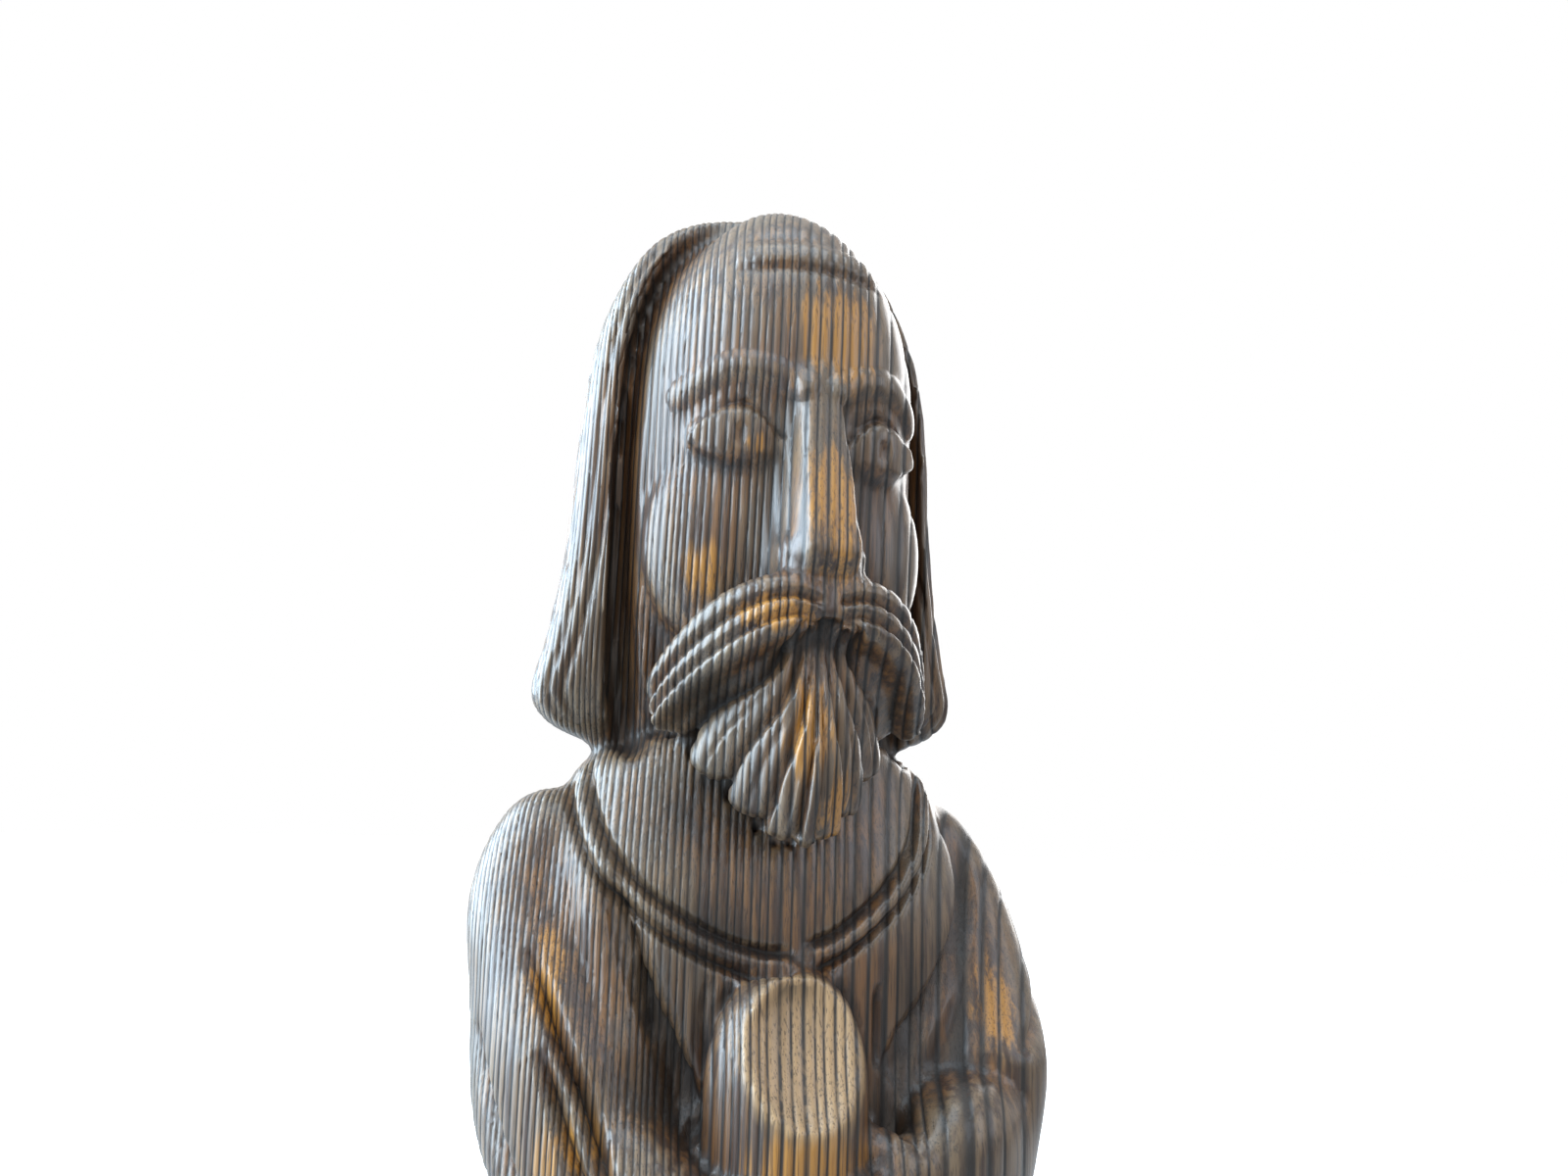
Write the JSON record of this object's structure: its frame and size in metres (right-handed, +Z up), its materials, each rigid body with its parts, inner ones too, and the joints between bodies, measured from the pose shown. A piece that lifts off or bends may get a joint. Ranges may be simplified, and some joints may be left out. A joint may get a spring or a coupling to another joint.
{
  "type": "carved wooden figure",
  "caption": "Upright robed old man with long hair, moustache and fan-shaped beard who holds a round jug, carved in wood with a low base.",
  "frame": {"origin": "centre of the base's flat underside", "axes": "+Z up towards the crown; the figure looks along -Y; +X is towards the figure's left hand"},
  "size_m": [0.168, 0.126, 0.4801],
  "materials": {
    "stained_wood": "dark-stained softwood, brushed so that the grain stands in ribs, satin varnish, rubbed to gold on its high places"
  },
  "bodies": {
    "root": {"carved_figure": "stained_wood"}
  },
  "joints": []
}
